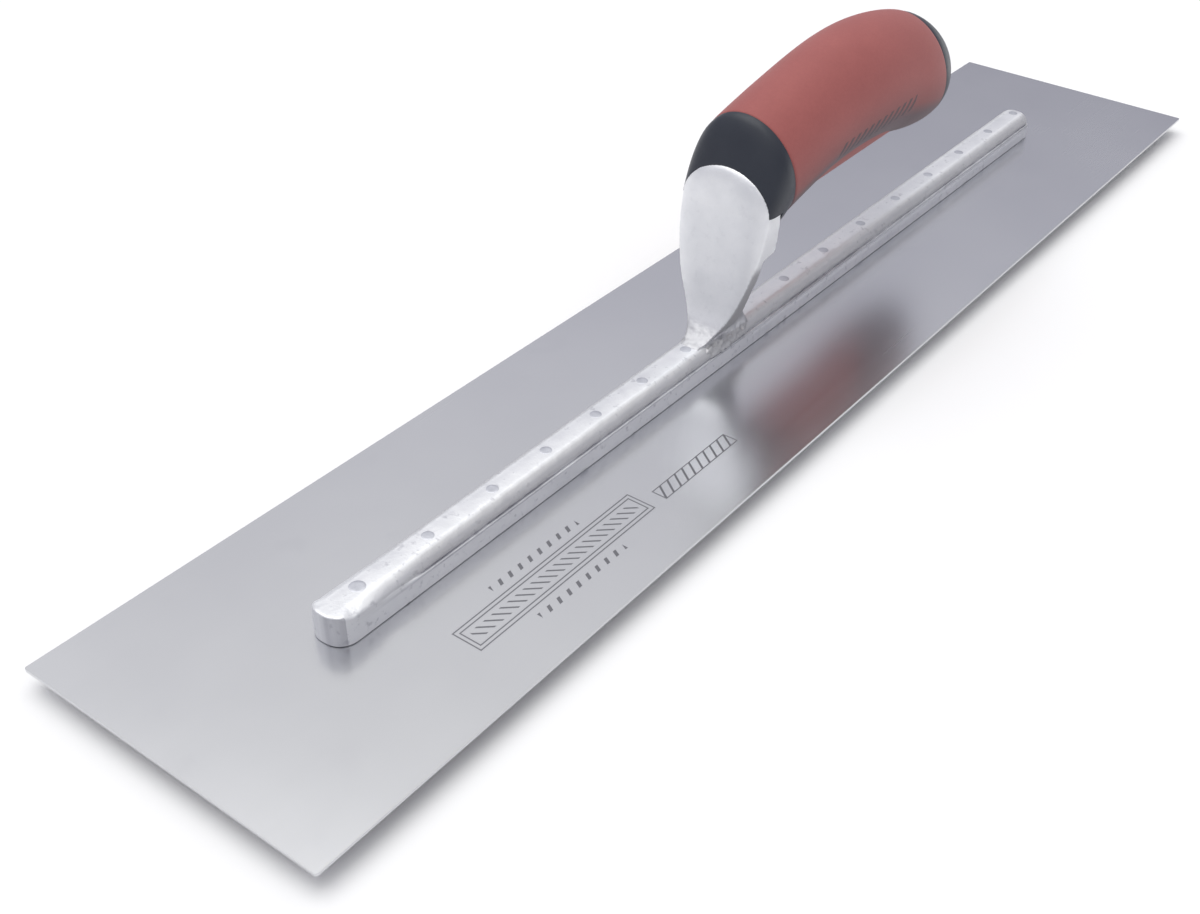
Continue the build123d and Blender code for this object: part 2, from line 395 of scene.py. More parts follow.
def make_shank():
    """Thumb face, lugs and rounded seat, level by level from the bar up."""
    levels = [SHANK[0][0] + 0.55 * i for i in range(56)]
    rings = [shank_ring(z, False) for z in levels if z < LUG_BOTTOM_Z]
    z = LUG_BOTTOM_Z + 0.3
    while z < SHELF_Z + 1.4:
        rings.append(shank_ring(z, True))
        z += 0.6
    rings.append(shank_ring(z, False))
    seat_steps = 25
    for i in range(1, seat_steps + 1):
        angle = mix(math.asin((z - SEAT_Z) / SEAT_HALF_HEIGHT), math.pi / 2 - 0.02, i / seat_steps)
        rings.append(shank_ring(SEAT_Z + SEAT_HALF_HEIGHT * math.sin(angle), False))
    return loft_rings(rings)


# length and squareness of the rounded ends in plan
HEEL_END = (4.2, 2.5)
NOSE_END = (6.3, 2.35)
CORNER_STEPS = 30
SIDE_STEPS = 430
# distance behind the front where a change starts, and its length
SQUARE_FADE = (3.0, 34.0)
FRONT_FADE = (5.6, 4.6)
FAR_SIDE = 4.8
FAR_SQUARE = (0.5, 0.78)
# second line on the side of the rear bar: ends, height, width, depth
REAR_LINE = (-22.0, 190.0, 5.05, 0.28, 0.34)
BEAD_STATION = 7
TOP_STATION = 21


def bar_plan(i, inset):
    """Point i of one side of the bar's plan, heel to toe, drawn in by inset."""
    half = BAR_HALF - inset
    heel = max(HEEL_END[0] - 0.50 * inset, 0.5)
    nose = max(NOSE_END[0] - 0.9 * inset, 0.5)
    rear = BAR_REAR - 0.45 * inset
    front = BAR_FRONT + inset
    if i < CORNER_STEPS:
        angle = math.pi / 2 * i / CORNER_STEPS
        x = rear - heel + heel * math.cos(angle) ** (2 / HEEL_END[1])
        return x, half * math.sin(angle) ** (2 / HEEL_END[1])
    if i <= CORNER_STEPS + SIDE_STEPS:
        t = (i - CORNER_STEPS) / SIDE_STEPS
        return mix(rear - heel, front + nose, t), half
    angle = math.pi / 2 * (2 * CORNER_STEPS + SIDE_STEPS - i) / CORNER_STEPS
    x = front + nose - nose * math.cos(angle) ** (2 / NOSE_END[1])
    return x, half * max(math.sin(angle), 0.0) ** (2 / NOSE_END[1])


# inset from the side face, height: side, ledge, groove, bead, flat
BAR_SECTION = (
    (0.45, 0.90), (0.0, 1.25), (0.0, 3.0), (0.0, 4.7), (0.0, 5.0), (0.0, 5.3),
    (0.04, 6.1), (0.12, 6.42), (0.30, 6.55), (0.62, 6.58), (0.86, 6.46), (1.06, 6.42),
    (1.06, 6.68), (0.90, 7.0), (0.80, 7.45), (0.86, 8.0), (1.06, 8.55), (1.40, 9.1),
    (1.84, 9.6), (2.34, 10.0), (2.86, 10.32), (3.36, 10.54), (3.70, 10.66), (3.90, BAR_TOP),
)
# the same stations on the front of the nose, linished upright
NOSE_SECTION = (
    (0.45, 0.90), (0.0, 1.25), (0.0, 3.0), (0.0, 4.3), (0.0, 4.6), (0.0, 4.9),
    (0.0, 5.6), (0.0, 6.5), (0.0, 7.3), (0.0, 8.0), (0.0, 8.6), (0.0, 9.2),
    (0.0, 9.8), (0.02, 10.2), (0.10, 10.42), (0.22, 10.56), (0.42, 10.64), (0.72, 10.67),
    (1.1, 10.68), (1.6, 10.69), (2.2, 10.69), (2.8, 10.695), (3.4, 10.70), (3.90, BAR_TOP),
)
# and beside the nose, where the bead sits straight on the side face
CHEEK_SECTION = (
    (0.45, 0.90), (0.0, 1.25), (0.0, 3.0), (0.0, 4.3), (0.0, 4.6), (0.0, 4.9),
    (0.0, 5.6), (0.0, 6.5), (0.0, 7.3), (0.0, 8.0), (0.0, 8.6), (0.02, 8.95),
    (0.12, 9.2), (0.36, 9.42), (0.70, 9.62), (1.08, 9.80), (1.48, 9.97), (1.88, 10.13),
    (2.26, 10.28), (2.64, 10.42), (3.00, 10.53), (3.32, 10.61), (3.62, 10.67), (3.90, BAR_TOP),
)


def make_bar():
    """The riveting bar, its bead fading into a square nose at the toe."""
    last = 2 * CORNER_STEPS + SIDE_STEPS
    order = [(i, 1) for i in range(last + 1)] + [(i, -1) for i in range(last - 1, 0, -1)]
    count = len(order)
    line_start, line_end, line_z, line_width, line_depth = REAR_LINE
    rings = []
    for k in range(len(BAR_SECTION)):
        ring = []
        for i, side in order:
            x, y = bar_plan(i, 0.0)
            y *= side
            facing_toe = 1 if i > CORNER_STEPS + SIDE_STEPS else 0
            ragged = 5.0 * noise.noise(Vector((x * 0.11, y * 0.4, 3.0)))
            front = facing_toe * ease((BAR_FRONT + FRONT_FADE[0] - x) / FRONT_FADE[1])
            near = ease((FAR_SIDE - y) / 3.0)
            upright = mix(mix(FAR_SQUARE[0], 1.0, near), mix(FAR_SQUARE[1], 1.0, near), front)
            square = (1 - ease((x - BAR_FRONT - SQUARE_FADE[0] + ragged) / SQUARE_FADE[1])) * upright
            nose = [mix(c, n, front) for c, n in zip(CHEEK_SECTION[k], NOSE_SECTION[k])]
            inset = mix(BAR_SECTION[k][0], nose[0], square)
            z = mix(BAR_SECTION[k][1], nose[1], square)
            if x > line_start and 2 < k < BEAD_STATION:
                fade = ease((x - line_start) / 3) * ease((line_end - x) / 6)
                inset += line_depth * math.exp(-((z - line_z) / line_width) ** 2) * fade
            rough = (1 - 0.8 * square * front) * (1.0 if k > 9 else 0.3)
            rough *= 1 if 0 < k < len(BAR_SECTION) - 1 else 0
            place = Vector((x * 0.30, y * 0.6, z * 0.45))
            lump = noise.noise(place) * 0.16 + noise.noise(place * 3.1) * 0.08
            inset -= lump * rough
            if BEAD_STATION < k < TOP_STATION:
                z += noise.noise(place + Vector((9, 4, 2))) * 0.06 * rough
            px, py = bar_plan(i, max(inset, 0.0))
            ring.append((px, py * side, min(z, BAR_TOP)))
        rings.append(ring)
    verts, faces = loft_rings(rings, cap_start=False, cap_end=False)
    for first in (0, (len(rings) - 1) * count):
        for i in range(last):
            across = first + (count - i) % count
            next_across = first + (count - i - 1) % count
            face = (first + i, first + i + 1, next_across, across)
            faces.append(tuple(dict.fromkeys(face)))
    return add_object("riveting_bar", verts, faces, sharp=50)


def squared(value, power):
    """A sine or cosine made squarer, its sign kept."""
    return math.copysign(abs(value) ** power, value)


def make_saddle():
    """Lumpy metal left where the shank runs into the bar."""
    rings = []
    steps = 25
    for i in range(steps + 1):
        t = i / steps
        x = mix(-50.0, -13.0, t)
        fade = ease(min(t, 1 - t) / 0.3)
        half = mix(3.4, BAR_HALF - 0.12, fade) + 0.25 * noise.noise(Vector((x * 0.5, 1.0, 7.0)))
        top = BAR_TOP - 0.25 + 0.55 * ease(min(t / 0.5, (1 - t) / 0.3))
        ring = []
        for k in range(28):
            a = 2 * math.pi * k / 28
            c, s = math.cos(a), math.sin(a)
            z = mix(5.2, top, 0.5 + 0.5 * squared(s, 0.8))
            ring.append((x, half * squared(c, 0.6), z))
        rings.append(ring)
    return loft_rings(rings)


def make_web():
    """Rib behind the shank, blended down to the bar."""
    rings = []
    bottom, height, steps = 8.6, 31.9, 24
    for i in range(steps + 1):
        z = mix(bottom, bottom + height, i / steps)
        t = (z - bottom) / height
        rear = mix(-17.5, -24.8, math.sin(math.pi * min(t * 1.5, 1.0) / 2)) + 2.4 * ease((t - 0.72) / 0.28)
        half = 4.0 + 1.6 * (1 - ease(t / 0.25)) + 2.5 * ease((t - 0.75) / 0.25)
        ring = []
        for k in range(24):
            a = 2 * math.pi * k / 24
            c, s = math.cos(a), math.sin(a)
            x = mix(-33.0, rear, 0.5 + 0.5 * squared(c, 0.5))
            ring.append((x, half * squared(s, 0.6), z))
        rings.append(ring)
    return loft_rings(rings)


CAST_VOXEL = 0.40
# start and length of the changes at the foot and on the sides of the shank
ROUGH_FOOT = (11.0, 8.0)
TORN_TOP = (10.0, 3.5)
TORN_SIDE = (2.6, 1.6)
TORN_FRONT = (-52.0, 5.0)
CAST_SIDE_FOOT = (10.5, 3.0)
CAST_SIDE_TOP = (34.0, 5.0)
CAST_FLARE = (12.5, 5.0)


def make_casting():
    """Shank, lugs, web, tang and torn foot run together as one cast skin."""
    verts, faces = [], []
    tang = bolt_tube((0.0, TANG_REACH / 2, TANG_REACH), TANG_RADIUS, 32)
    for piece_verts, piece_faces in (make_shank(), make_web(), tang, make_saddle()):
        first = len(verts)
        verts += piece_verts
        faces += [tuple(first + i for i in face) for face in piece_faces]
    rough = add_object("casting_rough", verts, faces, smooth=False)
    skin = rough.modifiers.new("skin", "REMESH")
    skin.mode = "VOXEL"
    skin.voxel_size = CAST_VOXEL * MM
    skin.adaptivity = 0.0
    relax = rough.modifiers.new("relax", "SMOOTH")
    relax.factor = 0.5
    relax.iterations = 2
    casting = baked_copy(rough, "cast_shank")
    mesh = casting.data
    # read before any point moves, as each move would mark them stale
    normals = [v.normal.copy() for v in mesh.vertices]
    torn_skin = []
    for v, normal in zip(mesh.vertices, normals):
        p = v.co / MM
        low = 1 - rise(p.z, ROUGH_FOOT)
        torn = rise(abs(p.y), TORN_SIDE) * (1 - rise(p.z, TORN_TOP)) * rise(p.x, TORN_FRONT)
        tear = noise.noise(p * 0.62 + Vector((0, 21, 0))) + 0.45 * noise.noise(p * 1.35)
        lump = noise.noise(p * 0.16)
        grit = noise.noise(p * 0.55 + Vector((40, 0, 0)))
        push = 0.07 * lump + 0.02 * grit
        push += low * (0.16 * noise.noise(p * 0.45) + 0.10 * noise.noise(p * 1.1))
        push += torn * (0.55 * tear - 0.10)
        torn_skin.append(torn * ease((0.10 - tear) / 0.4))
        v.co += normal * push * MM
    # dark where the skin was never ground: side walls, flare and torn hollows
    unground = mesh.attributes.new("as_cast", "FLOAT", "POINT")
    for v, normal, item, torn in zip(mesh.vertices, normals, unground.data, torn_skin):
        z = v.co.z / MM
        side = rise(abs(normal.y), (0.45, 0.35)) * (1 - rise(z, CAST_SIDE_TOP)) * rise(z, CAST_SIDE_FOOT)
        flare = 0.8 * rise(normal.z, (0.1, 0.4)) * (1 - rise(z, CAST_FLARE))
        item.value = max(side, flare, 0.5 * torn)
    smooth_shade(casting, 60)
    return casting


# ------------------------------------------------------------------- rivets
def rivet_positions():
    places = [TOE_RIVET + TOE_PITCH * i for i in range(3)]
    places += [places[-1] + MID_PITCH * (i + 1) for i in range(4)]
    places += [REAR_RIVET + REAR_PITCH * i for i in range(7)]
    places.append(HEEL_RIVET)
    return places


def rivet_shape():
    """Flush head on the bar, shank, countersunk head in the sole."""
    profile = [(2.45, 0.02), (RIVET_SOLE_RADIUS - 0.06, 0.08), (RIVET_RADIUS, BLADE_TOP),
               (RIVET_RADIUS, BAR_TOP - 0.30), (RIVET_RADIUS, BAR_TOP + 0.015),
               (RIVET_RADIUS - 0.12, BAR_TOP + 0.05), (1.1, BAR_TOP + 0.065), (0.5, BAR_TOP + 0.07)]
    steps = 40
    turns = [2 * math.pi * k / steps for k in range(steps)]
    return loft_rings([[(radius * math.cos(a), radius * math.sin(a), height) for a in turns]
                       for radius, height in profile])


def make_rivets(material):
    """Rivets set along the bar by a node tree."""
    verts, faces = rivet_shape()
    master = add_object("rivet_master", verts, faces, sharp=30)
    line = bpy.data.meshes.new("rivet_line")
    line.from_pydata([(x * MM, 0, 0) for x in rivet_positions()], [], [])
    rivets = bpy.data.objects.new("blade_rivet_row", line)
    bpy.context.scene.collection.objects.link(rivets)

    tree = bpy.data.node_groups.new("rivet_row", "GeometryNodeTree")
    tree.interface.new_socket("Geometry", in_out="OUTPUT", socket_type="NodeSocketGeometry")
    sockets = {}
    for label, kind, value in (("Geometry", "Geometry", None), ("Rivet", "Object", master),
                               ("Turn Spread", "Float", 3.0), ("Seed", "Int", 7),
                               ("First Head", "Vector", (1.25, 1.25, 1.0)), ("Finish", "Material", material)):
        socket = tree.interface.new_socket(label, in_out="INPUT", socket_type="NodeSocket" + kind)
        if kind in ("Float", "Int", "Vector"):
            socket.default_value = value
        elif value is not None:
            sockets[socket.identifier] = value
    enter, leave, points, info, spin, turned, place, real, paint, number, first, width = (
        tree.nodes.new(kind) for kind in (
            "NodeGroupInput", "NodeGroupOutput", "GeometryNodeMeshToPoints", "GeometryNodeObjectInfo",
            "FunctionNodeRandomValue", "ShaderNodeCombineXYZ", "GeometryNodeInstanceOnPoints",
            "GeometryNodeRealizeInstances", "GeometryNodeSetMaterial", "GeometryNodeInputIndex",
            "FunctionNodeCompare", "GeometryNodeSwitch"))
    spin.data_type = "FLOAT"
    first.data_type = "INT"
    first.operation = "EQUAL"
    width.input_type = "VECTOR"
    width.inputs["False"].default_value = (1, 1, 1)
    for output, target in (
            (enter.outputs["Geometry"], points.inputs["Mesh"]),
            (enter.outputs["Rivet"], info.inputs["Object"]),
            (enter.outputs["Turn Spread"], spin.inputs[3]),
            (enter.outputs["Seed"], spin.inputs["Seed"]),
            (spin.outputs[1], turned.inputs["Z"]),
            (points.outputs["Points"], place.inputs["Points"]),
            (info.outputs["Geometry"], place.inputs["Instance"]),
            (turned.outputs["Vector"], place.inputs["Rotation"]),
            (number.outputs["Index"], first.inputs[2]),
            (first.outputs["Result"], width.inputs["Switch"]),
            (enter.outputs["First Head"], width.inputs["True"]),
            (width.outputs["Output"], place.inputs["Scale"]),
            (place.outputs["Instances"], real.inputs["Geometry"]),
            (real.outputs["Geometry"], paint.inputs["Geometry"]),
            (enter.outputs["Finish"], paint.inputs["Material"]),
            (paint.outputs["Geometry"], leave.inputs["Geometry"])):
        tree.links.new(output, target)
    row = rivets.modifiers.new("row", "NODES")
    row.node_group = tree
    for identifier, value in sockets.items():
        row[identifier] = value
    done = baked_copy(rivets, "blade_rivet_row")
    bpy.data.objects.remove(master)
    return done


# ------------------------------------------------------------------- handle
RING = 96


def turn_at(i):
    return 2 * math.pi * i / RING


def make_sleeve():
    """Soft sleeve between collar and butt, with rolled ends."""
    ends = [rear_station(turn_at(i)) for i in range(RING)]
    lip, skin, wall = 1.1, 0.06, 2.8
    middle = [mix(0.016, 0.984, k / 90) for k in range(1, 90)]
    rings = [[grip_point(SLEEVE_START + 0.002, turn_at(i), wall) for i in range(RING)]]
    for t in [0.0, 0.004, 0.009, 0.016] + middle + [0.984, 0.991, 0.996, 1.0]:
        ring = []
        for i in range(RING):
            length = (ends[i] - SLEEVE_START) * GRIP_LENGTH
            edge = min(t, 1 - t) * length
            roll = skin + 0.5 * (1 - math.sqrt(max(1 - (1 - min(edge / lip, 1)) ** 2, 0)))
            ring.append(grip_point(mix(SLEEVE_START, ends[i], t), turn_at(i), roll))
        rings.append(ring)
    rings.append([grip_point(ends[i] - 0.004, turn_at(i), wall) for i in range(RING)])
    verts, faces = loft_rings(rings, cap_start=False, cap_end=False)
    count = len(rings)
    for i in range(RING):
        j = (i + 1) % RING
        faces.append(((count - 1) * RING + i, (count - 1) * RING + j, j, i))
    sleeve = add_object("soft_sleeve", verts, faces, sharp=50)
    mesh = sleeve.data
    # painted shade: how far each point faces down, read by the sleeve's material
    underside_shade = mesh.attributes.new("palm_side", "FLOAT", "POINT")
    normals = [v.normal.copy() for v in mesh.vertices]
    for normal, item in zip(normals, underside_shade.data):
        item.value = ease((0.25 - normal.z) / 0.9)
    return sleeve


def make_collar():
    """Hard collar flaring from the casting's oval to the sleeve."""
    neck_x, neck_z = grip_centre(SLEEVE_START)
    neck = grip_half_width(SLEEVE_START)
    rings = []
    rows = 30
    for k in range(rows + 1):
        t = k / rows
        bulge = 3.0 * 4 * t * (1 - t)
        tuck = 0.25 * ease((t - 0.7) / 0.3)
        x = mix(SEAT_X, neck_x, t)
        z = mix(SEAT_Z, neck_z, t) + bulge / 2
        wide = mix(SEAT_HALF_WIDTH, neck, t) + bulge / 4 - tuck
        high = mix(SEAT_HALF_HEIGHT, neck * GRIP_RATIO, t) + bulge / 2 - tuck
        tilt = grip_tilt(SLEEVE_START) * t
        ring = []
        for i in range(RING):
            rise = high * math.sin(turn_at(i))
            ring.append((x - math.sin(tilt) * rise, wide * math.cos(turn_at(i)), z + math.cos(tilt) * rise))
        rings.append(ring)
    rings.append([grip_point(SLEEVE_START + 0.012, turn_at(i), 1.4) for i in range(RING)])
    rings.append([grip_point(SLEEVE_START + 0.03, turn_at(i), 3.6) for i in range(RING)])
    verts, faces = loft_rings(rings)
    collar = add_object("hard_collar", verts, faces)
    verts, faces = box_points((SEAT_X - 10, -40, LUG_BOTTOM_Z - 20),
                              (SEAT_BACK_X + 0.02, 40, SHELF_Z + 0.9))
    collar = cut_away(collar, add_object("lug_room", verts, faces, smooth=False))
    smooth_shade(collar, 40)
    return collar


def make_butt():
    """Hard butt behind the sleeve, with the deep hole to the bolt."""
    ends = [rear_station(turn_at(i)) for i in range(RING)]
    rings = [[grip_point(ends[i] - back, turn_at(i), sink) for i in range(RING)]
             for back, sink in ((0.03, 3.4), (0.012, 1.4))]
    rows = 44
    for k in range(rows):
        t = 1 - (1 - k / rows) ** 1.6
        sink = 0.25 * (1 - ease(t / 0.08))
        rings.append([grip_point(mix(ends[i], 0.9995, t), turn_at(i), sink) for i in range(RING)])
    verts, faces = loft_rings(rings)
    butt = add_object("hard_butt", verts, faces)
    verts, faces = bolt_tube((HEAD_SEAT, HEAD_SEAT + COUNTERBORE_REACH), COUNTERBORE_RADIUS, 64)
    butt = cut_away(butt, add_object("bolt_hole", verts, faces, smooth=False))
    smooth_shade(butt, 40)
    return butt


# ---------------------------------------------------------------- materials
def new_material(name):
    material = bpy.data.materials.new(name)
    material.use_nodes = True
    tree = material.node_tree
    shader = tree.nodes["Principled BSDF"]
    return material, tree, shader


def node(tree, kind, **values):
    made = tree.nodes.new(kind)
    for key, value in values.items():
        setattr(made, key, value)
    return made


def math_node(tree, operation, a=None, b=None, clamp=False):
    made = node(tree, "ShaderNodeMath", operation=operation, use_clamp=clamp)
    for socket, value in zip(made.inputs, (a, b)):
        if value is None:
            continue
        if isinstance(value, (int, float)):
            socket.default_value = value
        else:
            tree.links.new(value, socket)
    return made.outputs[0]


def times(tree, *factors):
    """Product of several sockets or numbers."""
    product = factors[0]
    for factor in factors[1:]:
        product = math_node(tree, "MULTIPLY", product, factor)
    return product


def plus(tree, first, second):
    return math_node(tree, "ADD", first, second)


def minus(tree, first, second):
    return math_node(tree, "SUBTRACT", first, second)


def colour_mix(tree, factor, first, second):
    made = node(tree, "ShaderNodeMix", data_type="RGBA")
    for index, value in ((0, factor), (6, first), (7, second)):
        if isinstance(value, (int, float)):
            made.inputs[index].default_value = value
        elif isinstance(value, tuple):
            made.inputs[index].default_value = (*value, 1.0)
        else:
            tree.links.new(value, made.inputs[index])
    return made.outputs[2]


def span(tree, value, low, high, to_low=0.0, to_high=1.0):
    """Value mapped from low..high onto to_low..to_high, held beyond both."""
    made = node(tree, "ShaderNodeMapRange")
    tree.links.new(value, made.inputs["Value"])
    for label, bound in (("From Min", low), ("From Max", high), ("To Min", to_low), ("To Max", to_high)):
        made.inputs[label].default_value = bound
    return made.outputs["Result"]


def span_mm(tree, value, ends, to_low=0.0, to_high=1.0):
    return span(tree, value, ends[0] * MM, ends[1] * MM, to_low, to_high)


def object_place(tree, scale=(1, 1, 1)):
    place = node(tree, "ShaderNodeTexCoord")
    spread = node(tree, "ShaderNodeMapping")
    spread.inputs["Scale"].default_value = scale
    tree.links.new(place.outputs["Object"], spread.inputs["Vector"])
    return spread.outputs["Vector"]


def noise_value(tree, vector, scale, detail=4.0, rough=0.55):
    made = node(tree, "ShaderNodeTexNoise")
    tree.links.new(vector, made.inputs["Vector"])
    made.inputs["Scale"].default_value = scale
    made.inputs["Detail"].default_value = detail
    made.inputs["Roughness"].default_value = rough
    return made.outputs["Fac"]


def bump(tree, height, strength, distance):
    made = node(tree, "ShaderNodeBump")
    made.inputs["Strength"].default_value = strength
    made.inputs["Distance"].default_value = distance
    tree.links.new(height, made.inputs["Height"])
    return made.outputs["Normal"]


def group_tree(name, inputs, outputs):
    """An empty shader node group with named sockets."""
    tree = bpy.data.node_groups.new(name, "ShaderNodeTree")
    for label, kind, value in inputs:
        socket = tree.interface.new_socket(label, in_out="INPUT", socket_type=kind)
        if value is not None:
            socket.default_value = value
    for label, kind in outputs:
        tree.interface.new_socket(label, in_out="OUTPUT", socket_type=kind)
    return tree, tree.nodes.new("NodeGroupInput"), tree.nodes.new("NodeGroupOutput")


def surface_grain_group():
    """Slow cloudiness, small lumps and fine grain at three named scales."""
    tree, enter, leave = group_tree(
        "surface_grain",
        (("Vector", "NodeSocketVector", None), ("Cloud Scale", "NodeSocketFloat", 50.0),
         ("Lump Scale", "NodeSocketFloat", 250.0), ("Grain Scale", "NodeSocketFloat", 1200.0)),
        (("Cloud", "NodeSocketFloat"), ("Lumps", "NodeSocketFloat"), ("Grain", "NodeSocketFloat")))
    for label, detail in (("Cloud", 4.0), ("Lump", 4.0), ("Grain", 2.0)):
        made = node(tree, "ShaderNodeTexNoise")
        tree.links.new(enter.outputs["Vector"], made.inputs["Vector"])
        tree.links.new(enter.outputs[label + " Scale"], made.inputs["Scale"])
        made.inputs["Detail"].default_value = detail
        made.inputs["Roughness"].default_value = 0.58
        spread = span(tree, made.outputs["Fac"], 0.28, 0.72)
        tree.links.new(spread, leave.inputs["Lumps" if label == "Lump" else label])
    return tree


def band_mask_group():
    """One where Value lies within Half Width of Centre, fading over Soft."""
    tree, enter, leave = group_tree(
        "band_mask",
        (("Value", "NodeSocketFloat", 0.0), ("Centre", "NodeSocketFloat", 0.0),
         ("Half Width", "NodeSocketFloat", 0.001), ("Soft", "NodeSocketFloat", 0.0002)),
        (("Mask", "NodeSocketFloat"),))
    away = math_node(tree, "ABSOLUTE", minus(tree, enter.outputs["Value"], enter.outputs["Centre"]))
    beyond = minus(tree, away, enter.outputs["Half Width"])
    share = math_node(tree, "DIVIDE", beyond, enter.outputs["Soft"])
    tree.links.new(math_node(tree, "SUBTRACT", 1.0, share, clamp=True), leave.inputs["Mask"])
    return tree


def use_group(tree, group, **values):
    made = node(tree, "ShaderNodeGroup")
    made.node_tree = group
    for key, value in values.items():
        socket = made.inputs[key.replace("_", " ")]
        if isinstance(value, (int, float)):
            socket.default_value = value
        else:
            tree.links.new(value, socket)
    return made


def band(tree, value, centre, half_width, soft):
    made = use_group(tree, BAND, Value=value, Centre=centre, Half_Width=half_width, Soft=soft)
    return made.outputs["Mask"]


def frame_line_group():
    """Outline of a rectangle: Across and Along measured from its centre."""
    tree, enter, leave = group_tree(
        "frame_line",
        (("Along", "NodeSocketFloat", 0.0), ("Across", "NodeSocketFloat", 0.0),
         ("Half Length", "NodeSocketFloat", 0.05), ("Half Width", "NodeSocketFloat", 0.008),
         ("Line", "NodeSocketFloat", 0.0003)),
        (("Outline", "NodeSocketFloat"), ("Inside", "NodeSocketFloat")))
    over_long = minus(tree, math_node(tree, "ABSOLUTE", enter.outputs["Along"]), enter.outputs["Half Length"])
    over_wide = minus(tree, math_node(tree, "ABSOLUTE", enter.outputs["Across"]), enter.outputs["Half Width"])
    edge = math_node(tree, "MAXIMUM", over_long, over_wide)
    line = math_node(tree, "DIVIDE", math_node(tree, "ABSOLUTE", edge), enter.outputs["Line"])
    tree.links.new(math_node(tree, "SUBTRACT", 1.5, line, clamp=True), leave.inputs["Outline"])
    tree.links.new(math_node(tree, "LESS_THAN", edge, 0.0), leave.inputs["Inside"])
    return tree


def ruled_box(tree, along, across, half_length, half_width, line):
    """Outline and inside of a rectangle given in millimetres."""
    made = use_group(tree, FRAME_LINE, Along=along, Across=across, Half_Length=half_length * MM,
                     Half_Width=half_width * MM, Line=line * MM)
    return made.outputs["Outline"], made.outputs["Inside"]


def axes(tree, vector):
    split = node(tree, "ShaderNodeSeparateXYZ")
    tree.links.new(vector, split.inputs["Vector"])
    return split.outputs["X"], split.outputs["Y"], split.outputs["Z"]


def slanted_ticks(tree, along, across, pitch, slant, duty):
    """Repeating slanted strokes across a strip, pitch in millimetres."""
    leaning = plus(tree, along, times(tree, across, slant))
    phase = math_node(tree, "FRACT", math_node(tree, "DIVIDE", leaning, pitch * MM))
    away = math_node(tree, "ABSOLUTE", minus(tree, phase, 0.5))
    return math_node(tree, "LESS_THAN", away, duty / 2)


def blade_material():
    """Ground spring steel with a plain etched panel on one side."""
    material, tree, shader = new_material("ground_blade_steel")
    place = object_place(tree)
    x, y, z = axes(tree, place)
    grain = use_group(tree, GRAIN, Vector=place, Cloud_Scale=7.0, Lump_Scale=38.0, Grain_Scale=500.0)
    cloud, lumps = grain.outputs["Cloud"], grain.outputs["Lumps"]
    streak = noise_value(tree, object_place(tree, (3, 300, 300)), 6.0, 4.0, 0.6)
    tint = colour_mix(tree, cloud, (0.615, 0.620, 0.640), (0.665, 0.670, 0.685))
    tint = colour_mix(tree, span(tree, streak, 0.35, 0.70, 0.0, 0.06), tint, (0.56, 0.56, 0.585))
    tint = colour_mix(tree, span(tree, lumps, 0.75, 1.0, 0.0, 0.12), tint, (0.50, 0.50, 0.53))

    # large panel: a double frame, hatching inside it and a row of ticks beside each long side
    along = minus(tree, x, PANEL_X * MM)
    across = minus(tree, y, PANEL_Y * MM)
    masks = [ruled_box(tree, along, across, half_length, half_width, 0.22)[0]
             for half_length, half_width in ((36.5, 4.8), (35.2, 3.5))]
    inside = ruled_box(tree, along, across, 33.6, 1.9, 0.2)[1]
    masks.append(times(tree, slanted_ticks(tree, along, across, 3.1, 0.9, 0.26), inside))
    for offset in (-8.4, 8.4):
        shifted = minus(tree, across, offset * MM)
        inside = ruled_box(tree, along, shifted, 17.9, 1.1, 0.2)[1]
        masks.append(times(tree, slanted_ticks(tree, along, shifted, 4.0, -0.5, 0.30), inside))
    # small box with slanted strokes
    aside = minus(tree, x, SMALL_PANEL_X * MM)
    above = minus(tree, y, SMALL_PANEL_Y * MM)
    outline, inside = ruled_box(tree, aside, above, 18.0, 2.5, 0.2)
    masks.append(outline)
    masks.append(times(tree, slanted_ticks(tree, aside, above, 3.6, -0.7, 0.24), inside))
    etched = masks[0]
    for mask in masks[1:]:
        etched = math_node(tree, "MAXIMUM", etched, mask)
    etched = times(tree, etched, math_node(tree, "GREATER_THAN", z, 0.5 * MM))
    tint = colour_mix(tree, times(tree, etched, 0.82), tint, (0.10, 0.10, 0.115))
    tree.links.new(tint, shader.inputs["Base Color"])
    shader.inputs["Metallic"].default_value = 1.0
    rough = plus(tree, span(tree, cloud, 0, 1, 0.22, 0.27), span(tree, streak, 0.3, 0.7, -0.01, 0.015))
    rough = plus(tree, rough, times(tree, etched, 0.3))
    tree.links.new(rough, shader.inputs["Roughness"])
    height = minus(tree, times(tree, streak, 0.12), times(tree, etched, 0.8))
    tree.links.new(bump(tree, height, 0.025, 0.0001), shader.inputs["Normal"])
    return material


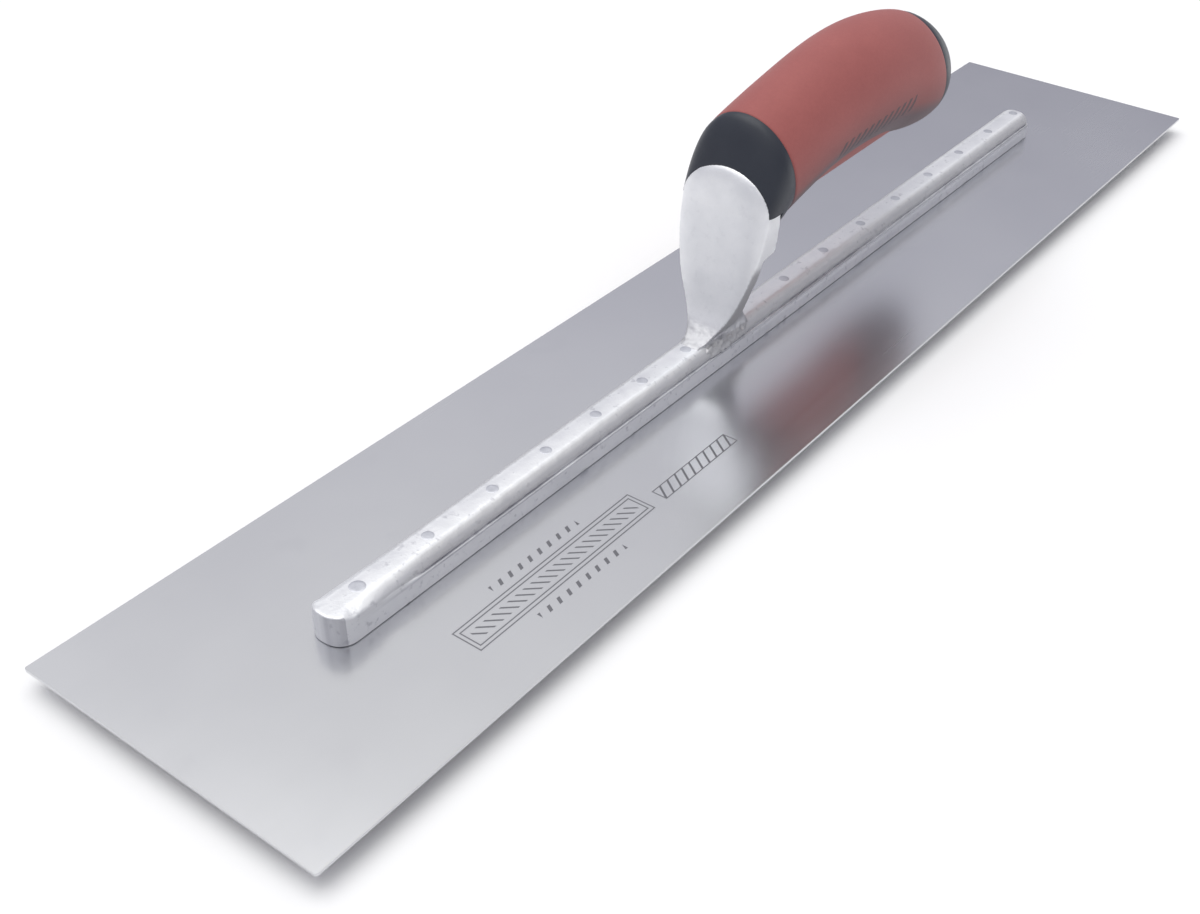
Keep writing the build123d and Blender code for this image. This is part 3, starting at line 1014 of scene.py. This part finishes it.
def cast_material():
    """Sand-cast aluminium, linished on the faces that were ground."""
    material, tree, shader = new_material("cast_aluminium_skin")
    place = object_place(tree)
    x, y, z = axes(tree, place)
    off_centre = math_node(tree, "ABSOLUTE", y)
    grain = use_group(tree, GRAIN, Vector=place, Cloud_Scale=70.0, Lump_Scale=420.0, Grain_Scale=1500.0)
    cloud, lumps = grain.outputs["Cloud"], grain.outputs["Lumps"]
    streak = noise_value(tree, object_place(tree, (260, 260, 8)), 1.4, 3.0, 0.55)
    tint = colour_mix(tree, cloud, (0.80, 0.81, 0.83), (0.90, 0.905, 0.92))
    unground = node(tree, "ShaderNodeAttribute", attribute_name="as_cast").outputs["Fac"]
    tint = colour_mix(tree, times(tree, unground, 0.85), tint, (0.36, 0.36, 0.38))

    # pits, thick near the foot and thin elsewhere
    share = plus(tree, times(tree, span_mm(tree, z, FOOT_PITS), 0.75), 0.12)
    pits = times(tree, span(tree, lumps, 0.70, 0.95, 0.0, 0.6), share)
    tint = colour_mix(tree, pits, tint, (0.42, 0.42, 0.46))

    # painted shade in the groove under the bead, mottled along its length
    side = math_node(tree, "GREATER_THAN", off_centre, SIDE_EDGE * MM)
    groove_shade = times(tree, band(tree, z, LEDGE_LINE * MM, 0.22 * MM, 0.3 * MM), side,
                  span_mm(tree, x, LEDGE_FADE), span(tree, cloud, 0.2, 0.8, 0.15, 0.6))
    tint = colour_mix(tree, groove_shade, tint, (0.26, 0.26, 0.30))
    lower = span_mm(tree, z, LOWER_SIDE)
    tint = colour_mix(tree, times(tree, lower, 0.10), tint, (0.70, 0.70, 0.77))

    # duller skin on the bead
    bead = times(tree, math_node(tree, "GREATER_THAN", off_centre, BEAD_EDGE * MM),
                 span_mm(tree, z, BEAD_FOOT), span_mm(tree, z, BEAD_CROWN),
                 span(tree, cloud, 0, 1, 0.46, 0.66), span_mm(tree, x, BEAD_FADE))
    tint = colour_mix(tree, bead, tint, (0.52, 0.515, 0.52))

    # upright grinding marks on the nose, with a painted dark reflection round its near corner
    nose = times(tree, math_node(tree, "LESS_THAN", x, NOSE_FACE_X * MM),
                 math_node(tree, "LESS_THAN", z, NOSE_FACE_Z * MM))
    nose_marks_and_reflection = plus(tree, span_mm(tree, y, NOSE_TURN, 0.0, 0.40), span(tree, streak, 0.35, 0.65, 0.0, 0.20))
    tint = colour_mix(tree, times(tree, nose, nose_marks_and_reflection), tint, (0.36, 0.36, 0.40))
    tree.links.new(tint, shader.inputs["Base Color"])
    shader.inputs["Metallic"].default_value = 0.68

    flat = times(tree, span_mm(tree, off_centre, FLAT_EDGE), span_mm(tree, z, FLAT_FLOOR),
                 span_mm(tree, z, FLAT_CEILING))
    rough = plus(tree, span(tree, lumps, 0, 1, 0.42, 0.54), times(tree, lower, -0.04))
    tree.links.new(minus(tree, rough, times(tree, flat, 0.13)), shader.inputs["Roughness"])
    height = plus(tree, times(tree, lumps, 0.7), times(tree, grain.outputs["Grain"], 0.3))
    height = plus(tree, height, times(tree, streak, nose))
    tree.links.new(bump(tree, height, 0.30, 0.0002), shader.inputs["Normal"])
    return material


def metal_material(name, tints, rough, bump_strength, scales):
    """Plain metal whose tint and roughness follow the small lumps."""
    material, tree, shader = new_material(name)
    cloud, lump, fine = scales
    grain = use_group(tree, GRAIN, Vector=object_place(tree), Cloud_Scale=cloud, Lump_Scale=lump,
                      Grain_Scale=fine)
    tree.links.new(colour_mix(tree, grain.outputs["Lumps"], *tints), shader.inputs["Base Color"])
    shader.inputs["Metallic"].default_value = 1.0
    tree.links.new(span(tree, grain.outputs["Lumps"], 0, 1, *rough), shader.inputs["Roughness"])
    tree.links.new(bump(tree, grain.outputs["Grain"], bump_strength, 0.0001), shader.inputs["Normal"])
    return material


def sleeve_material():
    """Matt moulded soft plastic, with a row of plain printed strokes."""
    material, tree, shader = new_material("red_soft_sleeve")
    place = object_place(tree)
    x, y, z = axes(tree, place)
    grain = use_group(tree, GRAIN, Vector=place, Cloud_Scale=48.0, Lump_Scale=900.0, Grain_Scale=3200.0)
    lumps, fine = grain.outputs["Lumps"], grain.outputs["Grain"]
    tint = colour_mix(tree, grain.outputs["Cloud"], (0.335, 0.092, 0.085), (0.375, 0.107, 0.098))
    tint = colour_mix(tree, span(tree, lumps, 0.2, 0.8, 0.0, 0.18), tint, (0.27, 0.073, 0.070))

    # painted shade: darker and greyer towards the downward-facing underside
    underside_shade = node(tree, "ShaderNodeAttribute", attribute_name="palm_side").outputs["Fac"]
    tint = colour_mix(tree, times(tree, underside_shade, 0.66), tint, (0.105, 0.055, 0.058))
    tint = colour_mix(tree, span(tree, underside_shade, 0.60, 0.90, 0.0, 0.85), tint, (0.112, 0.084, 0.096))

    # printed strokes on the near side only
    along = minus(tree, x, MARK_X * MM)
    across = minus(tree, minus(tree, z, MARK_Z * MM), times(tree, along, MARK_RISE))
    inside = ruled_box(tree, along, across, MARK_HALF, 2.9, 0.2)[1]
    strokes = slanted_ticks(tree, along, across, 4.0, -0.40, 0.46)
    printed = times(tree, strokes, inside, math_node(tree, "LESS_THAN", y, 0.0))
    tint = colour_mix(tree, times(tree, printed, 0.80), tint, (0.040, 0.040, 0.050))
    tree.links.new(tint, shader.inputs["Base Color"])
    tree.links.new(span(tree, fine, 0, 1, 0.58, 0.70), shader.inputs["Roughness"])
    shader.inputs["Specular IOR Level"].default_value = 0.35
    shader.inputs["Sheen Weight"].default_value = 0.12
    shader.inputs["Sheen Roughness"].default_value = 0.5
    height = plus(tree, times(tree, fine, 0.6), times(tree, lumps, 0.4))
    tree.links.new(bump(tree, height, 0.30, 0.0001), shader.inputs["Normal"])
    return material


def hard_material():
    """Charcoal moulded plastic with a satin skin."""
    material, tree, shader = new_material("black_hard_plastic")
    place = object_place(tree)
    grain = use_group(tree, GRAIN, Vector=place, Cloud_Scale=60.0, Lump_Scale=800.0, Grain_Scale=2600.0)
    tint = colour_mix(tree, grain.outputs["Cloud"], (0.023, 0.027, 0.038), (0.030, 0.035, 0.047))
    tree.links.new(tint, shader.inputs["Base Color"])
    tree.links.new(span(tree, grain.outputs["Lumps"], 0, 1, 0.36, 0.44), shader.inputs["Roughness"])
    shader.inputs["Specular IOR Level"].default_value = 0.42
    tree.links.new(bump(tree, grain.outputs["Grain"], 0.12, 0.0001), shader.inputs["Normal"])
    return material


def dress(obj, material):
    obj.data.materials.clear()
    obj.data.materials.append(material)


GRAIN = surface_grain_group()
BAND = band_mask_group()
FRAME_LINE = frame_line_group()
steel = blade_material()
casting_skin = cast_material()
rivet_steel = metal_material("ground_rivet_steel", ((0.56, 0.57, 0.61), (0.66, 0.67, 0.71)),
                             (0.38, 0.50), 0.2, (160.0, 600.0, 2400.0))
sleeve_skin = sleeve_material()
hard_plastic = hard_material()
zinc = metal_material("bright_zinc_fastener", ((0.50, 0.50, 0.53), (0.60, 0.60, 0.63)),
                      (0.28, 0.42), 0.15, (120.0, 700.0, 2200.0))

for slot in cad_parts["blade"].material_slots:
    slot.material = steel
for name in ("flat_washer", "spring_washer", "handle_bolt"):
    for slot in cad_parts[name].material_slots:
        slot.material = zinc

for cast_part in (make_bar(), make_casting()):
    dress(cast_part, casting_skin)
    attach(cast_part, "root")
    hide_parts("mounting")

rivets = make_rivets(rivet_steel)
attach(rivets, "root")
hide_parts("blade_rivets")

sleeve = make_sleeve()
dress(sleeve, sleeve_skin)
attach(sleeve, "root")
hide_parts("grip_sleeve")

for hard_part in (make_collar(), make_butt()):
    dress(hard_part, hard_plastic)
    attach(hard_part, "root")
    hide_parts("handle_core")


# -------------------------------------------------------- floor, light, camera
def make_floor():
    """Pale paper under the tool, just below the sole."""
    mesh = bpy.data.meshes.new("studio_floor")
    reach = FLOOR_REACH
    low = -FLOOR_DROP * MM
    corners = [(-reach, -reach, low), (reach, -reach, low), (reach, reach, low), (-reach, reach, low)]
    mesh.from_pydata(corners, [], [(0, 1, 2, 3)])
    floor = bpy.data.objects.new("studio_floor", mesh)
    bpy.context.scene.collection.objects.link(floor)
    paper, _, shader = new_material("white_paper")
    shader.inputs["Base Color"].default_value = (0.92, 0.92, 0.92, 1)
    shader.inputs["Roughness"].default_value = 0.9
    shader.inputs["Specular IOR Level"].default_value = 0.1
    dress(floor, paper)


def facing(place, target):
    """Turn that points an object's -Z from place at target."""
    return (Vector(target) - Vector(place)).to_track_quat("-Z", "Y")


def make_key():
    """One broad soft light overhead."""
    data = bpy.data.lights.new("key", "AREA")
    data.shape = "RECTANGLE"
    data.size, data.size_y = KEY_SIZE
    data.energy = KEY_POWER
    lamp = bpy.data.objects.new("key", data)
    bpy.context.scene.collection.objects.link(lamp)
    lamp.location = KEY_PLACE
    lamp.rotation_euler = facing(KEY_PLACE, KEY_TARGET).to_euler()


def make_world():
    """Sky that brightens upwards and is a little dimmer on the near side."""
    world = bpy.data.worlds.new("soft_studio")
    world.use_nodes = True
    tree = world.node_tree
    back = tree.nodes["Background"]
    place = node(tree, "ShaderNodeTexCoord")
    _, across, up = axes(tree, place.outputs["Generated"])
    glow = node(tree, "ShaderNodeValToRGB")
    ramp = glow.color_ramp
    ramp.elements[0].position, ramp.elements[0].color = SKY[0]
    ramp.elements[1].position, ramp.elements[1].color = SKY[-1]
    for height, colour in SKY[1:-1]:
        ramp.elements.new(height).color = colour
    tree.links.new(up, glow.inputs["Fac"])
    shade = node(tree, "ShaderNodeVectorMath", operation="SCALE")
    tree.links.new(glow.outputs["Color"], shade.inputs[0])
    tree.links.new(span(tree, across, *SKY_SIDE, SKY_SIDE_SHADE, 1.0), shade.inputs["Scale"])
    tree.links.new(shade.outputs["Vector"], back.inputs["Color"])
    back.inputs["Strength"].default_value = 1.0
    bpy.context.scene.world = world


def make_camera():
    """View from above the toe's near corner."""
    data = bpy.data.cameras.new("view")
    data.sensor_width = 36.0
    data.lens = VIEW_LENS
    data.shift_x = VIEW_SHIFT
    data.clip_start = 0.01
    data.clip_end = 30
    camera = bpy.data.objects.new("view", data)
    bpy.context.scene.collection.objects.link(camera)
    turned = facing(VIEW_PLACE, VIEW_TARGET).to_matrix() @ Matrix.Rotation(math.radians(VIEW_ROLL), 3, "Z")
    camera.matrix_world = Matrix.Translation(VIEW_PLACE) @ turned.to_4x4()
    bpy.context.scene.camera = camera


make_floor()
make_world()
make_key()
make_camera()
bpy.context.scene.view_settings.view_transform = "Standard"
